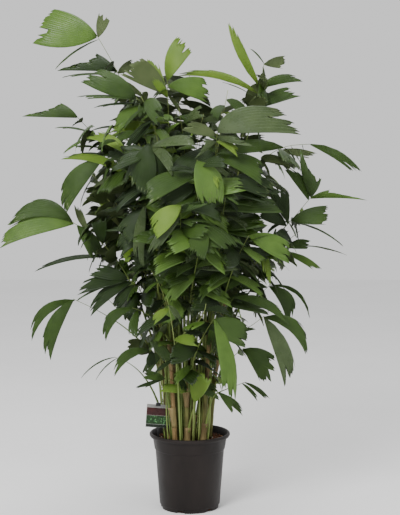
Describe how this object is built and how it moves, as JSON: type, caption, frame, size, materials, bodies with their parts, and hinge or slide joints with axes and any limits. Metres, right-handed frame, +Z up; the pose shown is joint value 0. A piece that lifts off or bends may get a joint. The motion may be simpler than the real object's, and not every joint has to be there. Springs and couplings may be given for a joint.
{
  "type": "potted fishtail palm",
  "caption": "Bushy clump of thin-caned fishtail palm with ragged wedge-shaped leaflets, in a round black nursery pot with a plant label.",
  "frame": {"origin": "centre of the pot's flat underside", "axes": "+Z up along the clump, -Y towards the side the picture shows, +X to its right"},
  "size_m": [1.0808, 0.7648, 1.4848],
  "materials": {
    "pot": "satin brownish-black moulded plastic",
    "mix": "moist bark and coir chips",
    "label": "printed card on a black stake",
    "cane": "fibrous tan and green stem",
    "leaf": "leathery pleated green leaflets on smooth green stalks"
  },
  "bodies": {
    "root": {"cane_1": "cane", "cane_10": "cane", "cane_11": "cane", "cane_12": "cane", "cane_13": "cane", "cane_14": "cane", "cane_15": "cane", "cane_2": "cane", "cane_3": "cane", "cane_4": "cane", "cane_5": "cane", "cane_6": "cane", "cane_7": "cane", "cane_8": "cane", "cane_9": "cane", "frond_back_1": "leaf", "frond_back_2": "leaf", "frond_back_3": "leaf", "frond_back_4": "leaf", "frond_back_5": "leaf", "frond_back_6": "leaf", "frond_back_7": "leaf", "frond_back_8": "leaf", "frond_back_9": "leaf", "frond_front_bright": "leaf", "frond_front_centre": "leaf", "frond_front_fan": "leaf", "frond_front_left_dark": "leaf", "frond_front_low_long": "leaf", "frond_front_middle": "leaf", "frond_left_drooping": "leaf", "frond_left_front": "leaf", "frond_left_low_inner": "leaf", "frond_left_low_long": "leaf", "frond_left_lower_fan": "leaf", "frond_left_upper": "leaf", "frond_left_wide": "leaf", "frond_low_left_arch": "leaf", "frond_low_left_small": "leaf", "frond_low_left_thin": "leaf", "frond_low_right_small": "leaf", "frond_low_right_thin": "leaf", "frond_right_arch": "leaf", "frond_right_front": "leaf", "frond_right_front_dark": "leaf", "frond_right_low_fan": "leaf", "frond_right_low_front": "leaf", "frond_right_low_inner": "leaf", "frond_right_lower": "leaf", "frond_right_middle": "leaf", "frond_right_middle_inner": "leaf", "frond_right_upper": "leaf", "frond_sprout": "leaf", "frond_top_centre": "leaf", "frond_top_left": "leaf", "frond_top_right": "leaf", "frond_upper_left_fan": "leaf", "label": "label", "pot": "pot", "potting_mix": "mix"}
  },
  "joints": []
}
